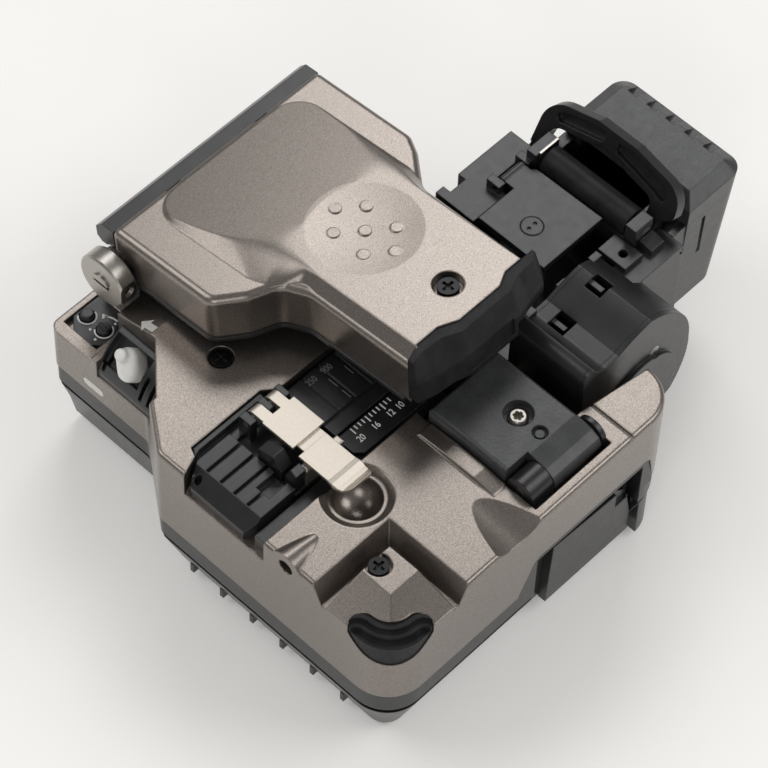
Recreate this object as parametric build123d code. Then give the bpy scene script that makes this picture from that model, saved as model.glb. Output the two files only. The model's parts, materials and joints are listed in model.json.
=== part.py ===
from build123d import *
import math
import os

# Precision fibre cleaver, all sizes in millimetres.
# While a piece is drawn, x runs from the left wall, y from the front wall and z from the table.
# The save function moves every piece so that the origin lies under the middle of the whole tool.
os.makedirs("parts", exist_ok=True)

# Base body in plan
base_width = 74.2
base_depth = 95.3
front_corner_radius = 8.0
rear_corner_radius = 5.0
rear_left_radius = 2.0
jog_radius = 2.5
setback = 9.8
setback_front_y = base_depth - 38.5
setback_back_y = base_depth - 25.4

# Base body levels
foot_height = 1.5
tray_top = 11.4
band_bottom = 13.0
seam_height = 18.0
deck_height = 39.0
low_deck_height = 29.0
low_deck_y = base_depth - 11.0
tray_inset = 0.6
tray_taper = 20.0
rear_tray_taper = 12.0
corner_block_x = 66.4
corner_block_y = 16.0
groove_inset = 1.8
band_inset = 0.25
deck_edge_radius = 0.9
grip_pitch = 7.6
grip_width = 0.9
grip_count = 6
grip_front_y = 13.6
grip_inset = 3.1
grip_rise = 2.4
fit_gap = 0.3

# Front opening with its removable cover
arch_left = 35.3
arch_right = 67.0
arch_top = 26.4
opening_left = 37.6
opening_right = 65.4
opening_top = 24.8
opening_depth = 3.4
cover_left = 42.9
cover_bottom = 3.2
cover_face_y = 1.6

# Feet and bottom screws
foot_radius = 4.5
foot_sink = 0.6
foot_centres = [(14.0, 12.0), (62.0, 12.0), (64.0, base_depth - 11.3), (24.0, base_depth - 11.3)]
bottom_screw_radius = 2.4
bottom_screw_height = 2.0
bottom_screw_centres = [(25.0, 12.0), (51.0, 12.0), (53.0, base_depth - 11.3), (35.0, base_depth - 11.3)]

# Black deck screws
deck_screw_radius = 1.9
deck_screw_height = 1.6
deck_screw_sink = 0.3

# Corner pad, canyon around it and rubber corner cushion
pad_side = 15.5
pad_height = 37.6
pad_edge_height = 35.3
pad_flat_start = 8.6
canyon_width = 1.2
canyon_floor = 34.4
canyon_wall_lean = 26.0
cushion_centre = 8.4
cushion_inner_radius = 4.4
cushion_wall_gap = 0.25
cushion_ridge = 1.2
cushion_top = 36.0
scoop_radius = 8.0
scoop_axis_height = 36.7

# Adapter pocket, bowl, strap boss and finger scoop in the deck
pocket_floor = 33.0
pocket_front_y = 30.6
pocket_back_y = 53.4
pocket_right_x = 24.4
bowl_x = 18.4
bowl_y = 26.1
bowl_rim_radius = 6.7
bowl_rim_depth = 1.0
bowl_radius = 4.6
bowl_sink = 0.5
boss_y = 25.3
boss_height = 37.2
boss_radius = 3.5
boss_length = 7.5
boss_hole_radius = 1.6
flute_x = 31.8
flute_radius = 11.0
flute_tilt = 8.2
flute_depth = 1.45

# Fibre line and blade
fibre_y = 38.2
fibre_height = 38.4
blade_x = 47.5
blade_radius = 8.5
blade_thickness = 0.5
blade_centre_height = fibre_height - blade_radius - 0.1
blade_rest_y = 24.5
carriage_length = 15.0
rod_radius = 1.5
rod_height = 23.5
rod_xs = (51.0, 55.0)
running_gap = 0.05
axle_radius = 1.2
axle_end = 52.6
hub_radius = 1.8
cavity_left = 44.6
cavity_right = 57.0
cavity_front_y = 13.0
cavity_back_y = 64.0
cavity_floor = 19.5
cavity_ceiling = blade_centre_height + 2.3
slot_half_width = 1.0

# Channel under the lid
channel_right_x = 57.5
channel_back_y = 51.4
scale_top = 36.0
scale_front_y = 32.6
guide_top = 37.2
pad_length = 2.6
pad_width = 6.0
pad_gap = 0.3

# Guard block on the front right
block_left = 38.5
block_right = 56.1
block_back_y = 28.2
block_front_y = 3.2
block_top = 42.2
block_bottom = 36.0
block_floor = pocket_floor + 1.2
lug_thickness = 1.0
block_pivot_y = 6.4
block_pivot_height = 39.0
lug_radius = 3.1
lug_width = 5.2
block_pin_radius = 1.0
block_screw_radius = 1.9

# Lid hinge and lid
hinge_y = base_depth - 6.4
hinge_height = 41.2
hinge_radius = 2.0
knuckle_radius = 4.2
pop_angle = 5.5
lid_screw_radius = 2.0
lid_screw_height = 1.8
lid_screw_sink = 0.5
lid_bottom = 40.7
wing_top = 50.8
plateau_top = 53.0
lid_left = 22.0
lid_right = 74.0
lid_back_y = hinge_y + 1.0
lid_front_y = 28.7
nose_inset = 1.7
lid_screw_x = 51.6
lid_screw_y = 35.6
nose_left = 35.2
nose_right = 66.2
lid_wall = 1.8
liner_lip = 0.9
liner_reach = 0.3
liner_ceiling = lid_bottom + 4.4
lid_edge_radius = 1.5
flank_left = 29.5
flank_right = 68.4
plateau_left = 37.4
plateau_right = 65.0
dish_x = 51.1
dish_y = 55.2
dish_radius = 10.7
dish_depth = 0.8
stud_radius = 1.2
stud_rise = 0.3
stud_pitch_x = 4.2
stud_pitch_y = 3.7
bumper_bottom = 42.6
bumper_waist = 47.5
bumper_top = 52.7
bumper_step_x = 57.5
bumper_step_height = 46.0
hinge_bar_back_y = hinge_y + 5.7
hinge_bar_top = 49.6
knuckle_spans = [(28.0, 44.0), (53.0, 69.0)]
bracket_spans = [(22.4, 27.7), (44.3, 52.7), (69.3, 73.4)]

# Hinge collar at the left end of the shaft
collar_left = 17.4
collar_width = 3.8
collar_radius = 5.6
set_screw_radius = 1.2

# Rear left switches
panel_left = 12.3
panel_right = 21.0
panel_front_y = low_deck_y + 1.1
panel_back_y = base_depth - 1.3
button_radius = 1.3
button_centre = (16.2, panel_back_y - 2.0)
dial_centre = (16.2, panel_front_y + 2.2)
notch_right = 16.8
notch_back_y = low_deck_y - 1.4
notch_front_y = notch_back_y - 16.1
notch_jog_y = notch_front_y + 7.8
notch_floor = 25.4
knob_y = notch_back_y - 6.1
knob_length = 6.4
knob_width = 4.4
knob_reach = knob_width / 2 + 0.36 * (knob_length - knob_width)
knob_height = 4.8
knob_seat = 1.6
knob_travel = 2.6

# Adapter plate and clamp leaf
plate_left = 0.8
plate_front_y = 34.8
plate_back_y = 51.0
plate_top = 38.4
plate_floor_top = pocket_floor + 3.2
leaf_thickness = 0.6
leaf_top = 42.0
leaf_pivot_y = 49.4
leaf_pivot_height = 40.4
leaf_pin_radius = 0.6

# Scrap collector
frame_floor = 28.6
frame_top = frame_floor + 11.4
bay_front_y = 10.4
bay_back_y = setback_front_y + 4.8
gear_left = 60.8
gear_right = 90.6
gear_top = 45.0
gear_bottom = 13.0
gear_flat_height = 42.6
gear_front_y = 13.0
gear_back_y = 28.6
gear_wall = 1.4
gear_notch_x = 84.2
gear_notch_y = 21.3
gear_core_x = 78.0
gear_core_height = 30.0
gear_core_radius = 11.0
gear_step_x = 74.7
window_y = 24.0
arm_bottom = 18.0
roller_x = 94.6
roller_radius = 2.9
roller_front_y = 30.4
roller_back_y = bay_back_y - 10.6
roller_nip_gap = 0.2
roller_shaft_radius = 1.2
path_cover_top = 42.0
path_cover_thickness = 1.6
path_pivot_y = bay_back_y - 8.0
path_pivot_height = 41.2
path_pin_radius = 0.6
drum_x = 80.6
drum_height = gear_core_height + 3.6
drum_radius = 4.2
drum_axle_radius = 1.2
drum_front_y = 14.8
drum_back_y = 19.2
bin_left = 102.6
bin_right = 118.2
bin_front_y = 24.0
bin_back_y = bay_back_y - 7.4
bin_bottom = 13.0
bin_top = 44.4
bin_wall = 1.6
bin_split_height = 38.5
bail_foot_x = 97.6
bail_foot_height = 38.6
bail_lean = 66.0
bail_rise = 12.8
bail_foot = 0.2
bail_front_y = 25.0
bail_back_y = bay_back_y - 4.0
bail_thickness = 2.4
bail_pocket_depth = 1.2
bail_pin_radius = 0.9
bail_pivot_x = 98.6
bail_pivot_height = 37.6


def block_between(x_low, x_high, y_low, y_high, z_low, z_high):
    """Box between six limits."""
    centre = ((x_low + x_high) / 2, (y_low + y_high) / 2, (z_low + z_high) / 2)
    return Pos(*centre) * Box(x_high - x_low, y_high - y_low, z_high - z_low)


def slab(points, z_low, z_high):
    """Plan polygon raised between two heights."""
    face = Plane.XY.offset(z_low) * Polygon(*points, align=None)
    return extrude(face, z_high - z_low, dir=(0, 0, 1))


def along_x(points, x_low, x_high):
    """Polygon of (y, z) points stretched along x."""
    plane = Plane(origin=(x_low, 0, 0), x_dir=(0, 1, 0), z_dir=(1, 0, 0))
    return extrude(plane * Polygon(*points, align=None), x_high - x_low, dir=(1, 0, 0))


def along_y(points, y_low, y_high):
    """Polygon of (x, z) points stretched along y."""
    plane = Plane(origin=(0, y_high, 0), x_dir=(1, 0, 0), z_dir=(0, -1, 0))
    return extrude(plane * Polygon(*points, align=None), y_high - y_low, dir=(0, -1, 0))


def rod_x(y, z, radius, x_low, x_high):
    """Round bar along x."""
    return Pos((x_low + x_high) / 2, y, z) * Rot(0, 90, 0) * Cylinder(radius, x_high - x_low)


def rod_y(x, z, radius, y_low, y_high):
    """Round bar along y."""
    return Pos(x, (y_low + y_high) / 2, z) * Rot(90, 0, 0) * Cylinder(radius, y_high - y_low)


def rod_z(x, y, radius, z_low, z_high):
    """Round bar along z."""
    return Pos(x, y, (z_low + z_high) / 2) * Cylinder(radius, z_high - z_low)


def outline(corners):
    """Closed plan outline from (x, y, corner radius) entries."""
    shape = Polygon(*[(x, y) for x, y, radius in corners], align=None)
    for x, y, radius in corners:
        if radius > 0:
            corner = shape.vertices().sort_by_distance((x, y, 0))[0]
            shape = fillet(corner, radius)
    return shape


def raised(shape, z_low, z_high):
    """Flat outline raised between two heights."""
    return extrude(Plane.XY.offset(z_low) * shape, z_high - z_low, dir=(0, 0, 1))


def phillips_head(x, y, z_top, radius, height):
    """Round screw head with a cross recess, top face at z_top."""
    head = rod_z(x, y, radius, z_top - height, z_top)
    arm = radius * 0.62
    blade = radius * 0.14
    cross = block_between(x - arm, x + arm, y - blade, y + blade, z_top - 0.5, z_top + 1)
    cross += block_between(x - blade, x + blade, y - arm, y + arm, z_top - 0.5, z_top + 1)
    return head - cross


def popped(shape):
    """Swing a piece drawn with the lid shut up to the lid's resting angle."""
    return Pos(0, hinge_y, hinge_height) * Rot(-pop_angle, 0, 0) * Pos(0, -hinge_y, -hinge_height) * shape


def save(node, *shapes):
    """Write one node as separate solids around the shared origin."""
    solids = [solid for shape in shapes for solid in shape.solids()]
    moved = [Pos(-bin_right / 2, -base_depth / 2, 0) * solid for solid in solids]
    whole = Compound(children=moved) if len(moved) > 1 else moved[0]
    export_step(whole, f"parts/{node}.step")


def base_outline(inset):
    """Footprint of the base with its stepped left wall."""
    shape = outline([
        (0, 0, front_corner_radius),
        (base_width, 0, front_corner_radius),
        (base_width, base_depth, rear_corner_radius),
        (setback, base_depth, rear_left_radius),
        (setback, setback_back_y, jog_radius),
        (0, setback_front_y, jog_radius),
    ])
    return offset(shape, -inset) if inset > 0 else shape


def front_opening():
    """Space for the removable cover in the front wall."""
    return block_between(opening_left, opening_right, -2, opening_depth, cover_bottom - 0.4, opening_top)


def base_tray():
    """Lower tray with sloping walls, grip fins, an upright right corner and screw recesses."""
    skirt = Plane.XY.offset(tray_top) * base_outline(tray_inset)
    body = extrude(skirt, tray_top - foot_height, dir=(0, 0, -1), taper=tray_taper)
    rear = extrude(skirt, tray_top - foot_height, dir=(0, 0, -1), taper=rear_tray_taper)
    body += rear & block_between(-1, base_width + 1, setback_back_y, base_depth + 1, 0, tray_top)
    corner = block_between(corner_block_x, base_width + 1, -1, corner_block_y, foot_height, tray_top)
    body += raised(base_outline(tray_inset), foot_height, tray_top) & corner
    body += raised(base_outline(groove_inset), tray_top - 0.1, band_bottom)
    for index in range(grip_count):
        y = grip_front_y + index * grip_pitch
        low = foot_height + grip_rise
        fin = [(grip_inset, foot_height), (grip_inset, low), (8, low + 1.5), (8, foot_height)]
        body += along_y(fin, y, y + grip_width)
    body -= front_opening()
    for x, y in foot_centres:
        body -= rod_z(x, y, foot_radius, 0, foot_height + foot_sink)
    for x, y in bottom_screw_centres:
        body -= rod_z(x, y, bottom_screw_radius + 0.3, 0, foot_height + bottom_screw_height + 0.6)
    return body


def base_feet():
    """Four rubber feet set into the tray."""
    return [fillet(rod_z(x, y, foot_radius, 0, foot_height + foot_sink).edges().group_by(Axis.Z)[0], 0.5)
            for x, y in foot_centres]


def bottom_screws():
    """Four screws that hold the tray, heads facing down."""
    top = foot_height + bottom_screw_height + 0.6
    return [Pos(0, 0, 2 * top - bottom_screw_height) * Rot(180, 0, 0)
            * phillips_head(x, -y, top, bottom_screw_radius, bottom_screw_height)
            for x, y in bottom_screw_centres]


def arch_profile(grow):
    """Outline of the raised arch over the front opening, as (x, z) points."""
    return [
        (arch_left - 2.2 - grow, seam_height - 1),
        (arch_left - 2.2 - grow, seam_height + 0.8),
        (arch_left - grow, seam_height + 5),
        (arch_left + 1.0 - grow, arch_top - 1.2 + grow),
        (arch_left + 2.4, arch_top + grow),
        (arch_right - 1.4, arch_top + grow),
        (arch_right + grow, arch_top - 1.0 + grow),
        (arch_right + 1.6 + grow, seam_height + 0.4),
        (arch_right + 1.6 + grow, seam_height - 1),
    ]


def middle_frame():
    """Dark band between tray and painted housing, with the arch at the front."""
    body = raised(base_outline(band_inset), band_bottom, seam_height)
    body += along_y(arch_profile(-0.05), band_inset, opening_depth + 1.2)
    return body - front_opening()


def front_cover():
    """Removable cover plate in the front opening."""
    points = [
        (cover_left, cover_bottom),
        (opening_right - 0.3, cover_bottom),
        (opening_right - 0.3, 9.0),
        (63.4, 17.4),
        (61.2, 19.2),
        (cover_left + 0.8, 20.6),
    ]
    plate = along_y(points, cover_face_y, opening_depth)
    return plate - block_between(60.5, 63.6, 0, cover_face_y + 0.7, 15.2, 22)


def corner_ring(inner_radius, outer_radius, z_low, z_high):
    """Quarter ring with rounded ends that follows the front left corner."""
    middle = (inner_radius + outer_radius) / 2
    half = (outer_radius - inner_radius) / 2
    ring = rod_z(cushion_centre, cushion_centre, outer_radius, z_low, z_high)
    ring -= rod_z(cushion_centre, cushion_centre, inner_radius, z_low - 1, z_high + 1)
    ring &= block_between(-5, cushion_centre, -5, cushion_centre, z_low, z_high)
    ring += rod_z(cushion_centre - middle, cushion_centre, half, z_low, z_high)
    ring += rod_z(cushion_centre, cushion_centre - middle, half, z_low, z_high)
    return ring


def scoop_cylinder(radius):
    """Cylinder along the corner diagonal that rounds the underside of the scoop."""
    place = Pos(cushion_centre, cushion_centre, scoop_axis_height) * Rot(0, 0, 45) * Rot(0, 90, 0)
    return place * Cylinder(radius, 40)


def corner_scoop():
    """Rounded cut that receives the corner cushion."""
    ring = corner_ring(cushion_inner_radius, cushion_centre + 1, scoop_axis_height - scoop_radius, 45)
    above = block_between(-5, 20, -5, 20, scoop_axis_height, 46)
    return ring & (scoop_cylinder(scoop_radius) + above)


def corner_cushion():
    """Rubber cushion on the front left corner."""
    low = scoop_axis_height - scoop_radius
    reach = cushion_centre + 1
    ring = corner_ring(cushion_inner_radius, reach, low, cushion_top) & scoop_cylinder(scoop_radius)
    ring &= raised(base_outline(cushion_wall_gap), low, cushion_top)
    step = cushion_inner_radius + cushion_ridge
    ring -= corner_ring(step, reach + 1, cushion_top - 0.9, cushion_top + 1)
    return ring - corner_ring(step + 1.3, reach + 1, cushion_top - 2.2, cushion_top + 1)


def corner_pad():
    """Lowered pad at the front left corner with its two sloping facets."""
    pad = raised(base_outline(0), canyon_floor - 2, pad_height)
    pad &= block_between(-1, pad_side, -1, pad_side, canyon_floor - 2, pad_height)
    slope = [
        (-1, pad_edge_height - 0.3),
        (0, pad_edge_height),
        (pad_flat_start, pad_height),
        (pad_flat_start, 41),
        (-1, 41),
    ]
    return pad - along_x(slope, -1, pad_side + 1) - along_y(slope, -1, pad_side + 1)


def cut_canyon(body):
    """Step the front left corner down and leave the pad standing in it."""
    reach = pad_side + canyon_width
    square = Polygon((-30, -30), (reach, -30), (reach, reach), (-30, reach), align=None)
    well = extrude(Plane.XY.offset(canyon_floor) * square, 10, taper=-canyon_wall_lean)
    return body - well + corner_pad()


def pocket_outline():
    """Adapter pocket and fibre channel as one stepped recess."""
    return [
        (-2, pocket_front_y),
        (channel_right_x, pocket_front_y),
        (channel_right_x, channel_back_y),
        (pocket_right_x, channel_back_y),
        (pocket_right_x - 2.4, pocket_back_y),
        (5.0, pocket_back_y),
        (4.2, 51.6),
        (-2, 49.4),
    ]


def cut_deck_recesses(body):
    """Bowl, finger scoop, canyon, pocket and block bay in the deck."""
    body -= slab(pocket_outline(), pocket_floor, 50)
    body -= block_between(block_left - 0.5, channel_right_x, 2.2, pocket_front_y + 1, block_floor, 50)
    rim_middle = deck_height - bowl_rim_depth / 2
    body -= Pos(bowl_x, bowl_y, rim_middle) * Cone(bowl_rim_radius - 1.4, bowl_rim_radius, bowl_rim_depth)
    slope_middle = deck_height - bowl_rim_depth
    body -= Pos(bowl_x, bowl_y, slope_middle) * Cone(bowl_radius - 0.8, bowl_radius + 0.8, 2 * bowl_sink)
    body -= Pos(bowl_x, bowl_y, slope_middle) * Sphere(bowl_radius)
    lift = flute_radius - flute_depth
    place = Pos(flute_x, 0, deck_height + lift) * Rot(flute_tilt, 0, 0) * Rot(90, 0, 0)
    flute = place * Cylinder(flute_radius, 60)
    return body - (flute & block_between(20, 37.5, -2, 22, 30, 50))


def strap_boss():
    """Half-round boss with a through hole on the left wall."""
    place = Pos(boss_length / 2, boss_y, boss_height) * Rot(0, 90, 0)
    nose = place * Cone(boss_radius, boss_radius * 0.55, boss_length)
    return nose & block_between(0, boss_length, boss_y - 5, boss_y + 5, 34, 45)


def rear_left_cuts():
    """Low rear deck, arrow ramp and slider notch."""
    cuts = block_between(-5, base_width + 5, low_deck_y, base_depth + 5, low_deck_height, 60)
    cuts += block_between(-5, notch_right, notch_back_y - 0.1, low_deck_y + 0.1, low_deck_height + 0.8, 60)
    ramp_y = low_deck_y - 8.7
    ramp_end = low_deck_y + 1
    ramp = [(ramp_y, deck_height + 0.01), (ramp_end, deck_height - 2.6), (ramp_end, 50), (ramp_y, 50)]
    cuts += along_x(ramp, 5, 25)
    notch = [
        (notch_right, notch_back_y),
        (notch_right, notch_jog_y),
        (8.0, notch_front_y - 1.5),
        (-2, notch_front_y - 1.5),
        (-2, notch_back_y),
    ]
    return cuts + slab(notch, notch_floor, 50)


def collector_bay():
    """Space in the right side of the base for the scrap collector."""
    bay = block_between(channel_right_x, base_width + 5, bay_front_y, bay_back_y, frame_floor, 60)
    front = [
        (58.6, bay_front_y),
        (75.0, bay_front_y - 2.4),
        (80.0, bay_front_y - 2.4),
        (80.0, bay_front_y + 1),
        (58.6, bay_front_y + 1),
    ]
    return bay + slab(front, frame_floor, 60)


def blade_space():
    """Hollow for the carriage with the narrow slot for the blade."""
    middle_x = (cavity_left + cavity_right) / 2
    middle_y = (cavity_front_y + cavity_back_y) / 2
    middle_z = (cavity_floor + cavity_ceiling) / 2
    size = (cavity_right - cavity_left, cavity_back_y - cavity_front_y, cavity_ceiling - cavity_floor)
    space = Pos(middle_x, middle_y, middle_z) * Box(*size)
    left = blade_x - slot_half_width
    right = blade_x + slot_half_width
    return space + block_between(left, right, cavity_front_y + 2, cavity_back_y - 2, cavity_ceiling - 1, 50)


def top_housing():
    """Painted metal housing with every recess of the deck."""
    body = raised(base_outline(0), seam_height, deck_height)
    body = fillet(body.faces().sort_by(Axis.Z)[-1].edges(), deck_edge_radius)
    ridge = [
        (27.6, deck_height - 1),
        (7.4, deck_height - 1),
        (9.4, deck_height + 0.2),
        (14.0, deck_height + 0.8),
        (21.0, deck_height + 0.8),
        (27.2, deck_height + 0.3),
    ]
    body += along_x(ridge, 34.8, 38.1)
    body = cut_deck_recesses(body)
    body = cut_canyon(body)
    body += strap_boss()
    body -= rod_x(boss_y, boss_height, boss_hole_radius, -1, boss_length + 0.2)
    body -= rear_left_cuts()
    body -= collector_bay()
    body -= blade_space()
    body -= along_y(arch_profile(0.1), -2, opening_depth + 1.4)
    body -= corner_scoop()
    body -= block_between(60.7, 61.3, -1, 12, deck_height - 0.5, 45)
    for x, y, z in deck_screw_seats():
        body -= rod_z(x, y, deck_screw_radius + 0.5, z - deck_screw_height - deck_screw_sink, 50)
    body -= block_between(panel_left, panel_right, panel_front_y, panel_back_y, low_deck_height - 1.5, 60)
    for x in rod_xs:
        body -= rod_y(x, rod_height, rod_radius, cavity_front_y - 4, cavity_back_y + 4)
    return body


def deck_screw_seats():
    """Places of the two black deck screws, with the height of the surface around each."""
    return [(22.1, 63.3, deck_height), (11.5, 14.2, pad_height)]


def deck_screws():
    """Two black screws set just below the deck surface."""
    return [phillips_head(x, y, z - deck_screw_sink, deck_screw_radius, deck_screw_height)
            for x, y, z in deck_screw_seats()]


def lock_panel():
    """Inset black panel that carries the two small switches."""
    corners = [
        (panel_left, panel_front_y + 1.6, 0),
        (panel_left + 1.6, panel_front_y, 0),
        (panel_right, panel_front_y, 0),
        (panel_right, panel_back_y, 0),
        (panel_left + 2.4, panel_back_y, 0),
        (panel_left, panel_back_y - 2.4, 0),
    ]
    plate = raised(outline(corners), low_deck_height - 1.5, low_deck_height - 0.3)
    for x, y in (button_centre, dial_centre):
        plate -= rod_z(x, y, button_radius + fit_gap, 0, 60)
    return plate


def switch_wells():
    """Blind wells in the housing under the two switches."""
    return [rod_z(x, y, button_radius + fit_gap, low_deck_height - 4.5, low_deck_height)
            for x, y in (button_centre, dial_centre)]


def link_button():
    """Small domed push button."""
    x, y = button_centre
    body = rod_z(x, y, button_radius, low_deck_height - 2.4, low_deck_height + 0.9)
    return fillet(body.edges().group_by(Axis.Z)[-1], 0.4)


def link_dial():
    """Small rotary selector with a finger rib."""
    x, y = dial_centre
    body = rod_z(x, y, button_radius, low_deck_height - 4.5, low_deck_height + 0.5)
    return body + block_between(x - 0.35, x + 0.35, y - 1.2, y + 1.2, low_deck_height, low_deck_height + 1.0)


def slider_rail():
    """Curved black rail in the rear left notch, with the slot of the lock slider."""
    start = (notch_right - 0.4, notch_floor + 9.2)
    end = (setback + 0.3, notch_floor + 1.6)
    curve = ThreePointArc(start, (13.2, notch_floor + 7.0), end)
    with_corner = Polyline(
        end,
        (setback + 0.3, notch_floor),
        (notch_right, notch_floor),
        (notch_right, notch_floor + 9.2),
        start,
    )
    plane = Plane(origin=(0, notch_back_y, 0), x_dir=(1, 0, 0), z_dir=(0, -1, 0))
    body = extrude(plane * make_face([curve, with_corner]), notch_back_y - notch_front_y, dir=(0, -1, 0))
    corner = [
        (notch_right + 1, notch_jog_y),
        (notch_right, notch_jog_y),
        (8.0, notch_front_y - 1.5),
        (notch_right + 1, notch_front_y - 2),
    ]
    body -= slab(corner, 20, 50)
    for y in (notch_front_y + 3.2, notch_front_y + 5.2, notch_back_y - 1.5):
        body -= slab([(5, y), (13.2, y), (13.2, y + 0.8), (5, y + 0.8)], notch_floor + 2.4, 50)
    return body - knob_slot()


def knob_slot():
    """Slot in the rail that leaves the lock slider its travel."""
    back = knob_y + knob_reach + knob_travel + fit_gap
    front = knob_y - knob_reach - fit_gap
    bar = Box(2 * (knob_reach + fit_gap), back - front, 20)
    return knob_place((front + back) / 2) * Pos(0, 0, 10 - knob_seat) * bar


def knob_place(y):
    """Place of the slider on the rail, leaning out at almost half a right angle."""
    return Pos(13.2, y, notch_floor + 6.4) * Rot(0, -42, 0)


def lock_slider():
    """White slider that locks the lid, an oval button with a thumb nub at its upper end."""
    oval = Rot(0, 0, 45) * SlotOverall(knob_length, knob_width)
    body = extrude(Plane.XY.offset(-knob_seat) * oval, knob_height)
    body = fillet(body.edges().group_by(Axis.Z)[-1], 1.6)
    nub_offset = (knob_length - 3) / 2 * math.cos(math.radians(45))
    nub = Pos(nub_offset, nub_offset, knob_height - knob_seat - 0.2) * Cylinder(1.2, 3.0)
    body += fillet(nub.edges().group_by(Axis.Z)[-1], 0.6)
    return knob_place(knob_y) * body


def hinge_bracket():
    """Black knuckles of the base that hold the hinge shaft."""
    pieces = []
    slope = [
        (base_depth - 5.5, hinge_height + 1),
        (base_depth, low_deck_height + 2),
        (base_depth, hinge_height + 1),
    ]
    for left, right in bracket_spans:
        foot = block_between(left, right, low_deck_y, base_depth - 1.4, low_deck_height, hinge_height)
        foot -= along_x(slope, left - 1, right + 1)
        foot += rod_x(hinge_y, hinge_height, knuckle_radius, left, right)
        foot -= block_between(left - 1, right + 1, 80, low_deck_y, 25, 50)
        pieces.append(foot - rod_x(hinge_y, hinge_height, hinge_radius, 0, base_width))
    return pieces


def hinge_shaft():
    """Steel shaft with a screwdriver slot in its left end."""
    shaft = rod_x(hinge_y, hinge_height, hinge_radius, collar_left - 0.4, bracket_spans[-1][1])
    low = hinge_height - 0.35
    return shaft - block_between(0, collar_left + 0.6, hinge_y - 2.5, hinge_y + 2.5, low, low + 0.7)


def hinge_collar():
    """Clamping collar with a flat for its set screw."""
    right = collar_left + collar_width
    ring = rod_x(hinge_y, hinge_height, collar_radius, collar_left, right)
    ring = chamfer(ring.edges().filter_by(GeomType.CIRCLE), 0.4)
    ring -= rod_x(hinge_y, hinge_height, hinge_radius, 0, 40)
    flat = block_between(0, 40, hinge_y - 20, hinge_y - collar_radius + 0.5, 0, 80)
    ring -= flat
    return ring - rod_y(collar_left + collar_width / 2, hinge_height, set_screw_radius, hinge_y - 20, hinge_y)


def collar_screw():
    """Set screw of the collar, with a hexagon socket."""
    x = collar_left + collar_width / 2
    screw = rod_y(x, hinge_height, set_screw_radius, hinge_y - collar_radius + 0.9, hinge_y - hinge_radius)
    place = Plane(origin=(x, hinge_y - collar_radius, hinge_height), z_dir=(0, 1, 0))
    socket = place * RegularPolygon(0.7, 6)
    return screw - extrude(socket, 1.9)


def nose_front():
    """Front edge of the lid's nose from left to right, as (x, y) points."""
    return [
        (nose_left, lid_front_y + 0.6),
        (38.2, lid_front_y + nose_inset),
        (43.3, lid_front_y + nose_inset),
        (47.0, lid_front_y),
        (57.4, lid_front_y),
        (60.4, lid_front_y + nose_inset - 0.2),
        (nose_right, lid_front_y + nose_inset - 0.2),
    ]


def lid_outline():
    """Plan outline of the lid with its two wings and long nose."""
    nose = [(x, y, 0) for x, y in nose_front()]
    return outline([
        (lid_left, lid_back_y, 1.2),
        (lid_left, 65.2, 3.0),
        (27.6, 60.8, 4.0),
        (33.0, 58.6, 3.5),
        (nose_left, 53.4, 5.0),
        *nose,
        (nose_right + 0.4, 56.0, 4.0),
        (lid_right - 2.0, 62.4, 4.0),
        (lid_right, 66.0, 3.0),
        (lid_right, lid_back_y, 1.2),
    ])


def lid_plateau():
    """Raised middle of the lid with broad sloping flanks and a ramp to the rear."""
    nose = nose_front()
    rear = lid_back_y - 1.5
    low = outline([
        (flank_left, rear, 6.0),
        (flank_left, 61.0, 2.5),
        (nose_left + 0.7, 56.4, 4.0),
        (nose_left + 0.7, nose[0][1], 0),
        *[(x, y, 0) for x, y in nose[1:-1]],
        (nose_right - 0.5, nose[-1][1], 0),
        (nose_right - 0.5, 54.0, 4.0),
        (flank_right, 60.0, 4.0),
        (flank_right - 0.8, rear, 6.0),
    ])
    high = outline([
        (flank_left + 1.1, rear - 0.4, 5.5),
        (plateau_left, 68.0, 40.0),
        (plateau_left + 0.4, 56.4, 4.0),
        (plateau_left + 0.6, nose[0][1] + 0.6, 0),
        *[(x, y, 0) for x, y in nose[1:-1]],
        (nose_right - 2.0, nose[-1][1], 0),
        (nose_right - 2.0, 54.0, 4.0),
        (plateau_right, 60.0, 4.0),
        (plateau_right + 1.6, rear - 0.4, 5.5),
    ])
    bottom = Plane.XY.offset(wing_top - 0.4) * low
    top = Plane.XY.offset(plateau_top) * high
    body = loft([bottom.face(), top.face()], ruled=True)
    ramp = [(rear, wing_top + 0.3), (64.0, plateau_top), (64.0, 60), (95, 60), (95, wing_top)]
    return body - along_x(ramp, 0, 90)


def thumb_dish():
    """Shallow round dish for the thumb."""
    radius = (dish_radius ** 2 + dish_depth ** 2) / (2 * dish_depth)
    ball = Pos(dish_x, dish_y, plateau_top - dish_depth + radius) * Sphere(radius)
    return ball & rod_z(dish_x, dish_y, dish_radius + 1, plateau_top - 2, plateau_top + 0.4)


def dish_studs():
    """Seven small studs in the dish, in two slanted rows around a middle one."""
    places = [(0, 0), (0, 2), (0, -2), (1, 1), (1, -1), (-1, 1), (-1, -1)]
    return [rod_z(dish_x + column * stud_pitch_x, dish_y + row * stud_pitch_y, stud_radius,
                  plateau_top - 2, plateau_top - dish_depth + stud_rise + 0.06 * (column ** 2 + row ** 2))
            for column, row in places]


def lid_cavity(height):
    """Inside of the painted lid."""
    return raised(offset(lid_outline(), -lid_wall), lid_bottom - 1, height)


def lid_screw_seat(grow):
    """Round seat for the lid screw."""
    low = plateau_top - lid_screw_sink - lid_screw_height
    return rod_z(lid_screw_x, lid_screw_y, lid_screw_radius + grow, low, plateau_top + 1)


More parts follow.
